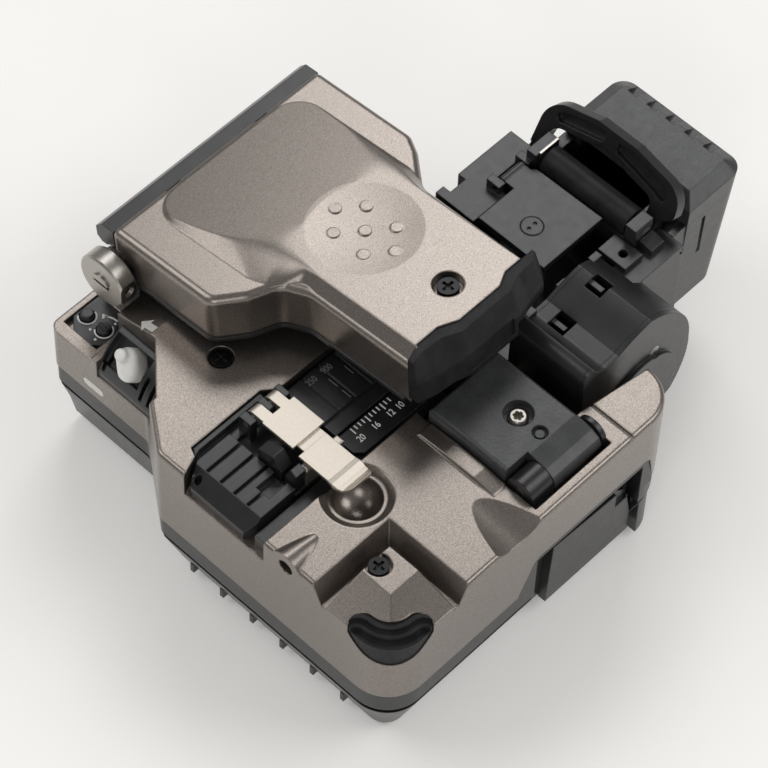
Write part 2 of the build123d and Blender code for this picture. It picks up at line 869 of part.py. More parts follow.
def lid_shell():
    """Painted lid in its shut position."""
    wings = raised(lid_outline(), lid_bottom, wing_top)
    wings = fillet(wings.faces().sort_by(Axis.Z)[-1].edges(), lid_edge_radius)
    body = wings + lid_plateau()
    body -= thumb_dish()
    for stud in dish_studs():
        body += stud
    body -= lid_cavity(wing_top - lid_wall)
    body -= lid_screw_seat(0.9)
    for left, right in ((35.0, 38.6), (57.4, 60.4)):
        body -= block_between(left, right, lid_back_y - 0.9, lid_back_y + 1, wing_top - 3.0, 60)
    clear = knuckle_radius + 0.5
    left = lid_left + lid_wall
    right = lid_right - lid_wall
    body -= block_between(lid_left - 1, lid_right + 1, hinge_y - clear, lid_back_y + 1, 30, hinge_height)
    body -= rod_x(hinge_y, hinge_height, clear, lid_left - 1, lid_right + 1)
    return body - block_between(left, right, 85.6, lid_back_y + 1, hinge_height, hinge_height + 5.2)


def liner_hollow():
    """Room under the lid for the guides of the channel."""
    nose = block_between(nose_left + 4, nose_right - 4, lid_front_y + 6, 62, 35, liner_ceiling)
    return nose + block_between(lid_left + 6, lid_right - 6, 66, 82, 35, liner_ceiling)


def lid_liner():
    """Black inner lid with the lip under the painted edge, the hinge bar and its knuckles."""
    core = raised(offset(lid_outline(), -lid_wall), lid_bottom, wing_top - lid_wall)
    body = core + raised(offset(lid_outline(), liner_reach), lid_bottom - liner_lip, lid_bottom)
    body -= lid_screw_seat(1.6)
    body -= liner_hollow()
    body -= block_between(nose_left - 1, 80, 10, lid_front_y + 2.2, 30, bumper_bottom)
    body -= rod_x(hinge_y, hinge_height, knuckle_radius + 0.5, 0, 90)
    body -= block_between(0, 90, hinge_y - knuckle_radius - 0.5, 100, 30, hinge_height)
    bar = [
        (lid_back_y, hinge_height + 3.4),
        (lid_back_y, hinge_bar_top),
        (hinge_bar_back_y - 1.6, hinge_bar_top),
        (hinge_bar_back_y, hinge_bar_top - 1.6),
        (hinge_bar_back_y, hinge_height + 4.4),
        (hinge_bar_back_y - 1.2, hinge_height + 3.4),
    ]
    body += along_x(bar, lid_left + 0.4, lid_right + 0.2)
    return cut_knuckles(body)


def cut_knuckles(body):
    """Add the lid's own knuckles and clear the base's knuckles."""
    for left, right in knuckle_spans:
        body += rod_x(hinge_y, hinge_height, knuckle_radius, left, right)
        body += block_between(left, right, hinge_y - 3, hinge_y + 3, hinge_height + 2, hinge_height + 5)
    for left, right in bracket_spans:
        body -= rod_x(hinge_y, hinge_height, knuckle_radius + 0.5, left - 0.3, right + 0.3)
    return body - rod_x(hinge_y, hinge_height, hinge_radius + running_gap, 0, 90)


def lid_bumper():
    """Rubber bumper around the front of the nose, with a step that clears the gear cover."""
    back = lid_front_y + 5
    top = [(nose_left - 0.3, back), (nose_left - 0.3, 28.0), (37.9, 28.6), (42.1, 28.4), (45.6, 26.6),
           (58.1, 26.6), (61.4, 28.0), (65.4, 28.2), (nose_right + 1.0, 29.4), (nose_right + 1.0, back)]
    waist = [(nose_left - 0.5, back), (nose_left - 0.5, 27.2), (37.9, 26.2), (42.6, 25.6), (45.6, 24.6),
             (58.1, 24.6), (61.6, 25.4), (66.0, 26.4), (nose_right + 1.6, 28.4), (nose_right + 1.6, back)]
    lower = Plane.XY.offset(bumper_waist) * Polygon(*waist, align=None)
    upper = Plane.XY.offset(bumper_top) * Polygon(*top, align=None)
    body = loft([lower.face(), upper.face()], ruled=True) + slab(waist, bumper_bottom, bumper_waist)
    nose = nose_front()
    behind = [
        (nose_left - 3, nose[0][1]),
        *nose,
        (nose_right + 4, nose[-1][1]),
        (nose_right + 4, 60),
        (nose_left - 3, 60),
    ]
    body -= slab(behind, 30, 60)
    body -= block_between(bumper_step_x, nose_right + 4, 10, back, 30, bumper_step_height)
    return body - block_between(42.8, 56.6, 10, 25.1, bumper_bottom + 1.2, bumper_waist + 0.4)


def lid_screw():
    """Recessed cross-head screw on the nose of the lid."""
    top = plateau_top - lid_screw_sink
    return phillips_head(lid_screw_x, lid_screw_y, top, lid_screw_radius, lid_screw_height)


def pad_places():
    """Left edges of the fibre pads on both sides of the blade."""
    return (blade_x - slot_half_width - 0.4 - pad_length, blade_x + slot_half_width + 0.4)


def lower_pads():
    """Rubber pads that carry the fibre beside the blade."""
    front = fibre_y - pad_width / 2
    back = fibre_y + pad_width / 2
    return [block_between(left, left + pad_length, front, back, scale_top, fibre_height)
            for left in pad_places()]


def upper_pads():
    """Matching pads under the lid."""
    front = fibre_y - pad_width / 2
    back = fibre_y + pad_width / 2
    low = fibre_height + pad_gap
    return [block_between(left, left + pad_length, front, back, low, liner_ceiling) for left in pad_places()]


def anvil():
    """Steel anvil that bends the scored fibre."""
    profile = [
        (fibre_y - 2.5, liner_ceiling),
        (fibre_y - 2.5, fibre_height + 3),
        (fibre_y - 0.6, fibre_height + 0.8),
        (fibre_y + 0.6, fibre_height + 0.8),
        (fibre_y + 2.5, fibre_height + 3),
        (fibre_y + 2.5, liner_ceiling),
    ]
    return along_x(profile, blade_x - 0.9, blade_x + 0.9)


def adapter_plate():
    """Ribbed black plate of the fibre adapter with hinge posts for the clamp leaf."""
    right = pocket_right_x - 0.6
    back = pocket_back_y - 0.3
    body = block_between(plate_left + 1, right, plate_front_y, plate_back_y, pocket_floor, plate_floor_top)
    frame = [
        (plate_left + 0.6, plate_back_y - 1.4),
        (4.6, plate_back_y + 0.9),
        (5.3, back),
        (right - 2.2, back),
        (right, plate_back_y),
        (right, plate_back_y - 1),
    ]
    body += slab(frame, pocket_floor, plate_top - 1.4)
    end = right - 2.2
    lip = [(4.4, plate_back_y + 0.8), (5.3, back), (end, back), (end, back - 0.9), (5.8, back - 0.9)]
    body += slab(lip, plate_top - 1.5, plate_top + 0.3)
    ramp = [
        (plate_left, pocket_floor),
        (plate_left, pocket_floor + 2.2),
        (plate_left + 2.8, plate_top),
        (12.0, plate_top),
        (12.0, pocket_floor),
    ]
    body += along_y(ramp, plate_front_y, plate_back_y)
    for index in range(4):
        y = 37.9 + index * 3.3
        body -= block_between(plate_left + 3.0, 13, y, y + 0.7, plate_top - 1.0, plate_top + 1)
    front_corner = [
        (-1, plate_front_y - 1),
        (plate_left + 3.4, plate_front_y - 1),
        (plate_left - 0.6, plate_front_y + 2.0),
        (-1, 37),
    ]
    back_corner = [(-1, 48.9), (4.4, plate_back_y), (4.4, plate_back_y + 1), (-1, plate_back_y + 1)]
    body -= slab(front_corner, 30, 45)
    body -= slab(back_corner, 30, 45)
    body -= rod_z(2.2, 48.8, 0.7, 35, 45)
    body -= block_between(7.4, 12.2, fibre_y - 1.6, fibre_y + 1.6, plate_top - 1.6, plate_top + 1)
    for left, right in ((14.4, 16.0), (18.9, 20.2), (23.0, 24.2)):
        front = leaf_pivot_y - 1.2
        body += block_between(left, right, front, plate_back_y, pocket_floor, leaf_pivot_height + 1.0)
    return body - rod_x(leaf_pivot_y, leaf_pivot_height, leaf_pin_radius, 14.4, 24.2)


def adapter_jaws():
    """Two hooked black jaws that centre the fibre coating."""
    front = [
        (fibre_y - 0.3, plate_floor_top),
        (fibre_y - 0.3, 39.0),
        (fibre_y - 1.6, 41.6),
        (fibre_y - 3.0, 40.8),
        (fibre_y - 3.0, plate_floor_top),
    ]
    back = [
        (fibre_y + 0.3, plate_floor_top),
        (fibre_y + 0.3, 39.0),
        (fibre_y + 2.4, 41.8),
        (fibre_y + 6.0, 40.6),
        (fibre_y + 6.0, plate_floor_top),
    ]
    return [along_x(front, 12.6, 14.8), along_x(back, 12.3, 15.0)]


def adapter_bar():
    """Polished metal bar under the front leaf plate."""
    bar = block_between(14.9, 24.2, plate_front_y + 0.1, plate_front_y + 1.9, plate_floor_top, 40.6)
    return chamfer(bar.edges().group_by(Axis.Z)[-1], 0.3)


def leaf_pin():
    """Hinge pin of the clamp leaf."""
    return rod_x(leaf_pivot_y, leaf_pivot_height, leaf_pin_radius, 14.4, 24.2)


def clamp_leaf():
    """Sprung metal leaf with two clamping plates and a curled finger tongue."""
    low = leaf_top - leaf_thickness
    body = block_between(16.0, 23.8, 39.4, 46.9, low, leaf_top)
    body += block_between(15.6, 22.4, 30.4, 37.6, low - 0.2, leaf_top - 0.2)
    body += block_between(17.2, 22.6, 36.6, 40.2, low - leaf_thickness, low)
    body += raised(leaf_tongue(), low - 1.6, leaf_top + 0.6) & along_x(leaf_curl(), 15, 24)
    for left, right in ((16.3, 18.6), (20.5, 22.7)):
        body += block_between(left, right, 46.5, leaf_pivot_y, low, leaf_top)
        body += rod_x(leaf_pivot_y, leaf_pivot_height, leaf_top - leaf_pivot_height, left, right)
    return body - rod_x(leaf_pivot_y, leaf_pivot_height, leaf_pin_radius + running_gap, 10, 30)


def leaf_tongue():
    """Plan outline of the finger tongue."""
    return outline([
        (15.6, 30.8, 0),
        (15.6, 29.6, 0),
        (16.6, 26.2, 1.2),
        (22.6, 26.2, 1.2),
        (22.8, 29.0, 1.0),
        (22.4, 30.8, 0),
    ])


def leaf_curl():
    """Side outline of the tongue, dipping and then curling up, as (y, z) points."""
    top = leaf_top - 0.2
    return [
        (31.0, top),
        (29.6, top - 0.2),
        (28.4, top - 0.9),
        (27.6, top - 0.9),
        (26.6, top + 0.1),
        (26.0, top + 0.4),
        (25.8, top - 0.2),
        (26.6, top - 0.9),
        (27.6, top - 1.7),
        (28.8, top - 1.6),
        (29.8, top - 1.0),
        (31.0, top - leaf_thickness),
    ]


def channel_bed():
    """Black bed of the fibre channel on both sides of the blade slot."""
    left = blade_x - slot_half_width
    right = blade_x + slot_half_width
    front = pocket_front_y + 0.3
    back = channel_back_y - 0.3
    floor = pocket_floor + 2.0
    west = block_between(pocket_right_x + 0.4, left, front, back, pocket_floor, floor)
    west += block_between(pad_places()[0] - 0.2, left, 33.8, 42.6, floor, scale_top)
    east = block_between(right, channel_right_x - 0.2, front, back, pocket_floor, floor)
    east += block_between(right, channel_right_x - 0.2, 33.8, 42.6, floor, scale_top)
    right = pocket_right_x + 0.2
    rail = block_between(1.2, right, front + 0.4, front + 3.0, pocket_floor, pocket_floor + 3.4)
    low = pocket_floor - 1
    bay = block_between(block_left - 0.5, channel_right_x, 2.2, pocket_front_y + 1, low, block_floor)
    return [west - bay, east - bay, rail]


def scale_plate():
    """Plate with the length scale, left of the blade."""
    corners = [
        (25.6, scale_front_y + 1.4), (27.0, scale_front_y), (pad_places()[0] - 0.4, scale_front_y),
        (pad_places()[0] - 0.4, fibre_y - 0.1), (25.6, fibre_y - 0.1),
    ]
    return slab(corners, pocket_floor + 2.0, scale_top)


def guide_plate():
    """Stepped guide plate behind the fibre line."""
    right = pad_places()[0] - 0.4
    low = pocket_floor + 2.0
    body = block_between(25.6, right, fibre_y + 0.2, channel_back_y - 0.5, low, guide_top - 0.6)
    body += block_between(25.6, right - 3, fibre_y + 3.2, channel_back_y - 0.5, guide_top - 0.6, guide_top)
    for x in (29.5, 33.5, 37.5):
        body -= block_between(x, x + 0.5, fibre_y + 3.0, channel_back_y, guide_top - 0.3, guide_top + 1)
    return body


def block_lugs():
    """Two fixed lugs that carry the pin of the guard block."""
    front = block_pivot_y - lug_radius
    back = block_pivot_y + lug_radius
    right = block_right + fit_gap
    spans = [(block_left, block_left + lug_width), (right, right + lug_thickness)]
    pieces = []
    for left, right in spans:
        foot = block_between(left, right, front, back, block_floor, block_pivot_height)
        foot += rod_x(block_pivot_y, block_pivot_height, lug_radius, left, right)
        pieces.append(foot - rod_x(block_pivot_y, block_pivot_height, block_pin_radius, 30, 70))
    return pieces


def block_pin():
    """Pivot pin of the guard block."""
    right = block_right + fit_gap + lug_thickness
    return rod_x(block_pivot_y, block_pivot_height, block_pin_radius, block_left, right)


def guard_block():
    """Black guard block over the parked blade, hinged at the front."""
    side = [
        (block_back_y, block_bottom),
        (block_back_y, block_top - 0.5),
        (block_back_y - 0.5, block_top),
        (9.4, block_top),
        (5.6, block_top - 0.9),
        (3.9, block_top - 1.9),
        (block_front_y, block_top - 3.4),
        (3.5, 37.2),
        (4.8, block_bottom),
    ]
    body = along_x(side, block_left, block_right)
    body = fillet(body.edges().filter_by(Axis.Y).sort_by(Axis.Z)[-2:], 0.8)
    back = block_back_y - 0.6
    body += block_between(block_left + 1, block_right - 1, back - 3.4, back, block_floor, block_bottom + 1)
    notch_back = block_pivot_y + lug_radius + 0.5
    body -= block_between(block_left - 1, block_left + lug_width + 0.4, 0, notch_back, 30, 50)
    slot = slot_half_width + fit_gap
    body -= block_between(blade_x - slot, blade_x + slot, 14.6, block_back_y + 1, 30, 39.4)
    body -= rod_z(48.9, 16.6, block_screw_radius + 0.9, block_top - 1.8, 50)
    body -= rod_z(48.9, 16.6, block_screw_radius, block_top - 4.0, 50)
    body -= rod_z(48.6, 11.2, 1.5, block_top - 1.2, 50)
    body += rod_z(48.6, 11.2, 0.9, block_top - 1.4, block_top - 0.5)
    return body - rod_x(block_pivot_y, block_pivot_height, block_pin_radius + running_gap, 30, 70)


def block_screw():
    """Bright six-lobe screw in the guard block."""
    low = block_top - 4.0
    body = rod_z(48.9, 16.6, block_screw_radius, low, low + 3.2)
    body = chamfer(body.edges().group_by(Axis.Z)[-1], 0.5)
    for turn in range(6):
        x = 48.9 + 0.65 * math.cos(math.radians(60 * turn))
        y = 16.6 + 0.65 * math.sin(math.radians(60 * turn))
        body -= rod_z(x, y, 0.34, low + 1.8, low + 4)
    return body - rod_z(48.9, 16.6, 0.6, low + 1.8, low + 4)


def carriage_rods():
    """Two steel rods that guide the blade carriage."""
    return [rod_y(x, rod_height, rod_radius, cavity_front_y - 4, cavity_back_y + 4) for x in rod_xs]


def carriage():
    """Sliding carriage that carries the blade axle."""
    body = block_between(blade_x + 1.4, cavity_right - 0.4, blade_rest_y - carriage_length / 2,
                         blade_rest_y + carriage_length / 2, cavity_floor + 0.4, cavity_ceiling - 0.4)
    for x in rod_xs:
        body -= rod_y(x, rod_height, rod_radius + running_gap, 0, 60)
    return body - rod_x(blade_rest_y, blade_centre_height, axle_radius + running_gap, 40, axle_end + fit_gap)


def blade_disc():
    """Round blade with a fine bevelled rim."""
    half = blade_thickness / 2
    disc = rod_x(blade_rest_y, blade_centre_height, blade_radius, blade_x - half, blade_x + half)
    disc = chamfer(disc.edges().filter_by(GeomType.CIRCLE), 0.2)
    return disc - rod_x(blade_rest_y, blade_centre_height, axle_radius, 40, 60)


def blade_axle():
    """Blade hub with its axle."""
    half = blade_thickness / 2
    body = rod_x(blade_rest_y, blade_centre_height, axle_radius, blade_x - half, axle_end)
    body += rod_x(blade_rest_y, blade_centre_height, hub_radius, cavity_left + 0.6, blade_x - half)
    body += rod_x(blade_rest_y, blade_centre_height, hub_radius, blade_x + half, blade_x + 1.1)
    return body


def gear_outline():
    """Outline of the gear case seen from the front, as a face in x and z."""
    low = frame_floor + fit_gap
    roll = ThreePointArc((gear_left, 41.2), (61.5, 44.2), (63.4, gear_top))
    dip = ThreePointArc((63.4, gear_top), (64.9, 43.2), (66.6, gear_flat_height))
    flat = Line((66.6, gear_flat_height), (70.0, gear_flat_height + 0.2))
    rise = ThreePointArc((70.0, gear_flat_height + 0.2), (73.8, 44.1), (78.4, gear_top))
    crown = ThreePointArc((78.4, gear_top), (86.2, 39.9), (gear_right, 28.5))
    flank = ThreePointArc((gear_right, 28.5), (90.0, 21.0), (87.2, 15.2))
    rest = Polyline(
        (87.2, 15.2),
        (83.0, gear_bottom),
        (gear_step_x, gear_bottom),
        (gear_step_x, low),
        (gear_left, low),
        (gear_left, 41.2),
    )
    return make_face([roll, dip, flat, rise, crown, flank, rest])


def gear_solid(y_low, y_high):
    """Gear case outline stretched along y."""
    plane = Plane(origin=(0, y_high, 0), x_dir=(1, 0, 0), z_dir=(0, -1, 0))
    return extrude(plane * gear_outline(), y_high - y_low, dir=(0, -1, 0))


def gear_cavity():
    """Room inside the gear cover."""
    back = gear_back_y - gear_wall
    room = rod_y(gear_core_x, gear_core_height, gear_core_radius, gear_front_y - 1, back)
    top = gear_flat_height - gear_wall
    room += block_between(gear_left + gear_wall, gear_core_x, gear_front_y - 1, back, 31, top)
    room -= block_between(50, gear_step_x + gear_wall, 0, 40, 0, frame_floor + fit_gap + gear_wall)
    return room - block_between(gear_notch_x - gear_wall, 100, gear_notch_y - gear_wall, 40, 0, 60)


def window_places():
    """Centre and surface height of the two windows in the gear cover."""
    return [(68.2, gear_flat_height), (77.8, gear_top)]


def gear_cover():
    """Curved cover of the drive with two windows and their tongues."""
    body = gear_solid(gear_front_y, gear_back_y) - gear_cavity()
    body -= block_between(gear_notch_x, 100, gear_notch_y, 40, 0, 60)
    for x, height in window_places():
        body -= block_between(x - 1.9, x + 1.9, window_y - 1.9, window_y + 1.9, gear_core_height, 60)
        body += block_between(x - 0.55, x + 0.55, window_y - 1.0, window_y + 2.2, height - 1.8, height - 0.9)
    return body


def gear_end_plate():
    """Front plate of the gear case with a round boss."""
    plate = gear_solid(gear_front_y - 1.0, gear_front_y)
    boss = rod_y(77.0, 23.6, 9.8, gear_front_y - 1.8, gear_front_y - 1.0)
    plate += boss & gear_solid(gear_front_y - 1.8, gear_front_y - 1.0)
    return plate - rod_y(drum_x, drum_height, drum_axle_radius, 0, 20)


def cover_strip():
    """Thin strip with three tabs along the rear edge of the gear cover."""
    room = block_between(50, gear_notch_x, 0, 60, frame_floor + fit_gap, 60)
    body = gear_solid(gear_back_y, gear_back_y + 0.9) & room
    for x, height in ((64.4, 43.6), (73.0, 43.7), (81.6, 43.6)):
        body += block_between(x, x + 2.2, gear_back_y, gear_back_y + 1.4, height - 2.4, height)
    return body


def drum_axle():
    """Fixed axle of the drive drum."""
    return rod_y(drum_x, drum_height, drum_axle_radius, gear_front_y - 1.0, drum_back_y + 0.4)


def drive_drum():
    """Fluted drum that drives the rollers when the lid is worked."""
    body = rod_y(drum_x, drum_height, drum_radius, drum_front_y, drum_back_y)
    for turn in range(12):
        angle = math.radians(30 * turn)
        x = drum_x + drum_radius * math.cos(angle)
        z = drum_height + drum_radius * math.sin(angle)
        body -= rod_y(x, z, 0.5, 10, 30)
    return body - rod_y(drum_x, drum_height, drum_axle_radius + running_gap, 10, 30)


def collector_frame():
    """Black chassis of the scrap collector with its two arms and bearing walls."""
    floor_top = frame_floor + 2.4
    bearing_top = roller_height(1) + 3.0
    wall_front = roller_back_y + 0.8
    wall_back = wall_front + 2.2
    rear_front = wall_front + 3.8
    rear_back = bay_back_y - 0.4
    front_wall_back = roller_front_y - 0.6
    left = channel_right_x + 0.3
    body = block_between(left, bin_left, gear_back_y + 1.8, rear_back, frame_floor, floor_top)
    body += block_between(75.0, 95.2, rear_front, rear_back, frame_floor, frame_top)
    body += block_between(75.0, 84.0, wall_front, rear_front + 0.1, frame_floor, frame_top)
    body += block_between(91.6, 95.2, wall_front, rear_front + 0.1, frame_floor, frame_top)
    body += block_between(91.4, 97.4, wall_front, wall_back, frame_floor, bearing_top)
    body += block_between(95.0, bin_left, wall_front, wall_back, frame_floor, frame_top)
    body += block_between(84.6, 98.6, front_wall_back - 8.2, front_wall_back - 2.4, arm_bottom, 39.0)
    body += block_between(84.6, 98.6, front_wall_back - 2.5, 36.0, frame_floor, floor_top)
    body += block_between(91.4, 96.1, front_wall_back - 2.5, front_wall_back, frame_floor, bearing_top)
    body += block_between(98.0, bin_left, 30.6, 31.8, frame_floor, frame_top)
    body += block_between(96.0, bin_left, 30.6, wall_back, frame_floor, floor_top)
    for side in (-1, 1):
        radius = roller_shaft_radius + running_gap
        body -= rod_y(roller_x, roller_height(side), radius, front_wall_back - 3.3, wall_back + 0.6)
    for post in path_posts():
        body += post
    body -= rod_y(bail_pivot_x, bail_pivot_height, bail_pin_radius, 20, 60)
    body -= rod_x(path_pivot_y, path_pivot_height, path_pin_radius, 80, 92)
    body -= block_between(77, 81, rear_back - 1.8, rear_back + 1, frame_top - 4, frame_top + 1)
    return body


def shaft_ear():
    """Small plate with a round hole on the front arm."""
    plate = block_between(86.4, 91.2, 25.0, 31.6, 39.0, 40.2)
    plate += block_between(86.4, 91.2, 29.4, 31.6, frame_floor + 2.4, 39.0)
    return plate - rod_z(88.8, 27.6, 0.9, 38, 42)


def bin_catch():
    """Small catch tab beside the bail."""
    return along_x([(24.2, 39.0), (24.2, 40.4), (27.2, 40.9), (27.2, 39.0)], 92.6, 96.2)


def roller_height(side):
    """Axis height of the upper (1) or lower (-1) roller."""
    return fibre_height + side * (roller_radius + roller_nip_gap / 2)


def roller_sleeve(side):
    """Rubber sleeve of a scrap roller."""
    sleeve = rod_y(roller_x, roller_height(side), roller_radius, roller_front_y, roller_back_y)
    return sleeve - rod_y(roller_x, roller_height(side), roller_shaft_radius, 0, 90)


def roller_shaft(side):
    """Steel shaft of a scrap roller."""
    front = roller_front_y - 3.0
    return rod_y(roller_x, roller_height(side), roller_shaft_radius, front, roller_back_y + 2.6)


def side_leaf():
    """Bright leaf that backs the rear end of the rollers."""
    back = roller_back_y + 0.8
    plate = block_between(92.2, 97.2, back - 0.5, back, 37.0, roller_height(1) + 3.4)
    for side in (-1, 1):
        plate -= rod_y(roller_x, roller_height(side), roller_shaft_radius + fit_gap, 40, 60)
    return plate


def path_cover():
    """Flat cover over the scrap path, hinged at its rear tab."""
    low = path_cover_top - path_cover_thickness
    corners = [
        (75.2, 34.8),
        (91.0, 34.8),
        (90.8, path_pivot_y - 2.8),
        (90.0, path_pivot_y - 2.0),
        (90.0, path_pivot_y),
        (84.6, path_pivot_y),
        (84.6, path_pivot_y - 2.8),
        (75.2, path_pivot_y - 2.8),
    ]
    body = slab(corners, low, path_cover_top)
    body += rod_x(path_pivot_y, path_pivot_height, 1.0, 84.6, 90.0)
    for x in (76.0, 88.6):
        body += block_between(x, x + 1.4, 36.0, 38.0, frame_floor + 2.4, low)
    body -= rod_z(80.6, 42.6, 2.2, path_cover_top - 0.4, 50)
    return body - rod_x(path_pivot_y, path_pivot_height, path_pin_radius + running_gap, 80, 95)


def path_pin():
    """Hinge pin of the path cover."""
    return rod_x(path_pivot_y, path_pivot_height, path_pin_radius, 84.0, 91.6)


def path_posts():
    """Posts on the chassis that hold the pin of the path cover."""
    back = roller_back_y + 4.7
    return [block_between(left, right, path_pivot_y - 1.0, back, frame_top - 0.1, path_pivot_height + 1.0)
            for left, right in ((82.6, 84.3), (90.3, 92.0))]


def path_screw():
    """Round blind screw in the path cover."""
    top = path_cover_top - 0.4
    body = rod_z(80.6, 42.6, 2.2, top, top + 0.5)
    body = chamfer(body.edges().group_by(Axis.Z)[-1], 0.2)
    for offset_x in (-0.8, 0.8):
        body -= rod_z(80.6 + offset_x, 42.6, 0.35, top + 0.2, top + 1)
    return body


def bin_outer():
    """Outside of the scrap bin, slightly narrower towards the bottom."""
    foot = bin_right - 3.4
    front = bin_front_y + 0.8
    back = bin_back_y - 0.8
    low = [(bin_left, front), (foot, front), (foot, back), (bin_left, back)]
    high = [
        (bin_left, bin_front_y),
        (bin_right, bin_front_y),
        (bin_right, bin_back_y),
        (bin_left, bin_back_y),
    ]
    bottom = Plane.XY.offset(bin_bottom) * Polygon(*low, align=None)
    top = Plane.XY.offset(bin_top) * Polygon(*high, align=None)
    body = loft([bottom.face(), top.face()], ruled=True)
    middle = (bin_bottom + bin_top) / 2
    uprights = [edge for edge in body.edges().filter_by(lambda edge: edge.length > 20)
                if edge.center().X > bin_left + 5 and abs(edge.center().Z - middle) < 2]
    body = fillet(uprights, 3.4)
    return chamfer(body.faces().sort_by(Axis.Z)[-1].edges(), 1.8, 2.8)


def bin_inner():
    """Room for the fibre scraps."""
    return block_between(bin_left + bin_wall, bin_right - 3.6 - bin_wall, bin_front_y + 0.8 + bin_wall,
                         bin_back_y - 0.8 - bin_wall, bin_bottom + bin_wall, bin_top - bin_wall)


def scrap_inlet():
    """Opening in the bin wall behind the rollers."""
    right = bin_left + bin_wall + 0.1
    back = bin_back_y - 3.6
    return block_between(bin_left - 1, right, 33.0, back, frame_floor + 2.6, bin_split_height + 2.6)


def bin_body():
    """Smooth lower part of the bin with the scrap inlet and its side ear."""
    body = split(bin_outer(), Plane.XY.offset(bin_split_height), keep=Keep.BOTTOM)
    body -= bin_inner()
    ear_y = bin_front_y + 0.4
    body += block_between(bin_left - 3.6, bin_left, ear_y, ear_y + 1.4, bin_bottom + 4, bin_split_height)
    body -= scrap_inlet()
    body -= block_between(107.0, 108.0, bin_front_y - 1, bin_front_y + 0.7, 26.0, 37.0)
    return body


def bin_cap():
    """Grained upper part of the bin with a row of slots along its far edge."""
    body = split(bin_outer(), Plane.XY.offset(bin_split_height), keep=Keep.TOP)
    body -= bin_inner()
    body -= scrap_inlet()
    for index in range(5):
        y = 29.6 + index * 4.6
        body -= block_between(bin_right - 3.4, bin_right + 1, y, y + 2.2, bin_top - 1.6, bin_top + 1)
    return body


def bail_plane():
    """Plane of the arched bail, leaning over the bin."""
    lean = math.radians(bail_lean)
    return Plane(origin=(bail_foot_x, 0, bail_foot_height), x_dir=(0, 1, 0),
                 z_dir=(math.sin(lean), 0, -math.cos(lean)))


def bail_pockets():
    """Two long shallow pockets in the face of the bail, a straight one and a bent one."""
    straight = outline([
        (43.8, 9.4, 0.5),
        (46.6, 8.8, 1.0),
        (53.8, 7.2, 0.7),
        (54.7, 8.5, 0.7),
        (52.4, 10.0, 1.0),
        (46.2, 11.5, 1.0),
        (43.8, 11.4, 0.5),
    ])
    bent = outline([
        (40.6, 9.4, 0.5),
        (40.6, 11.4, 0.5),
        (36.8, 11.5, 1.0),
        (29.6, 9.9, 1.5),
        (27.4, 7.6, 0.8),
        (28.2, 6.6, 0.5),
        (30.6, 7.4, 1.0),
        (36.8, 8.7, 1.0),
    ])
    return [straight, bent]


def bail():
    """Arched bail with two long slots that latches the bin."""
    outer = outline([
        (bail_front_y + 2.6, bail_foot, 0),
        (bail_back_y, bail_foot, 0),
        (bail_back_y - 0.4, bail_rise - 2.6, 6.0),
        (46.0, bail_rise, 0),
        (37.0, bail_rise, 0),
        (bail_front_y, bail_rise - 2.2, 5.0),
        (bail_front_y - 0.4, 5.0, 1.5),
        (bail_front_y + 2.6, 2.6, 1.5),
    ])
    inner = outline([
        (30.2, bail_foot - 1, 0),
        (bail_back_y - 2.2, bail_foot - 1, 0),
        (bail_back_y - 3.4, 6.0, 3.0),
        (46.6, 7.4, 2.0),
        (44.0, 8.4, 1.5),
        (39.0, 8.4, 1.5),
        (37.0, 7.2, 2.0),
        (30.2, 6.0, 2.0),
    ])
    plate = extrude(bail_plane() * (outer - inner), bail_thickness / 2, both=True)
    for pocket in bail_pockets():
        face = bail_plane().offset(-bail_thickness / 2 - 1) * pocket
        plate -= extrude(face, 1 + bail_pocket_depth, dir=bail_plane().z_dir)
    plate += rod_y(bail_pivot_x, bail_pivot_height, 2.0, 28.0, 30.2)
    plate += rod_y(bail_pivot_x, bail_pivot_height, 2.0, bail_back_y - 2.2, bail_back_y)
    return plate - rod_y(bail_pivot_x, bail_pivot_height, bail_pin_radius + running_gap, 20, 70)


def bail_pins():
    """Two pivot pins of the bail."""
    return [rod_y(bail_pivot_x, bail_pivot_height, bail_pin_radius, 28.0, 31.8),
            rod_y(bail_pivot_x, bail_pivot_height, bail_pin_radius, roller_back_y + 0.8, bail_back_y)]


def write_base():
    """Write the nodes of the fixed base."""
    save("base_tray", base_tray())
    save("base_feet", *base_feet())
    save("bottom_screws", *bottom_screws())
    save("middle_frame", middle_frame())
    save("front_cover", front_cover())
    housing = top_housing()
    for well in switch_wells():
        housing -= well
    save("top_housing", housing)
    save("deck_screws", *deck_screws())
    save("corner_cushion", corner_cushion())
    save("lock_panel", lock_panel())
    save("link_button", link_button())
    save("link_dial", link_dial())
    save("slider_rail", slider_rail())
    save("lock_slider", lock_slider())
    save("hinge_bracket", *hinge_bracket())
    save("hinge_shaft", hinge_shaft())
    save("hinge_collar", hinge_collar())
    save("collar_screw", collar_screw())
    save("channel_bed", *channel_bed())
    save("scale_plate", scale_plate())
    save("guide_plate", guide_plate())
    save("lower_pads", *lower_pads())


def write_lid():
    """Write the nodes of the lid at its resting angle."""
    save("lid_shell", popped(lid_shell()))
    save("lid_liner", popped(lid_liner()))
    save("lid_bumper", popped(lid_bumper()))
    save("lid_screw", popped(lid_screw()))
    save("upper_pads", *[popped(pad) for pad in upper_pads()])
    save("anvil", popped(anvil()))


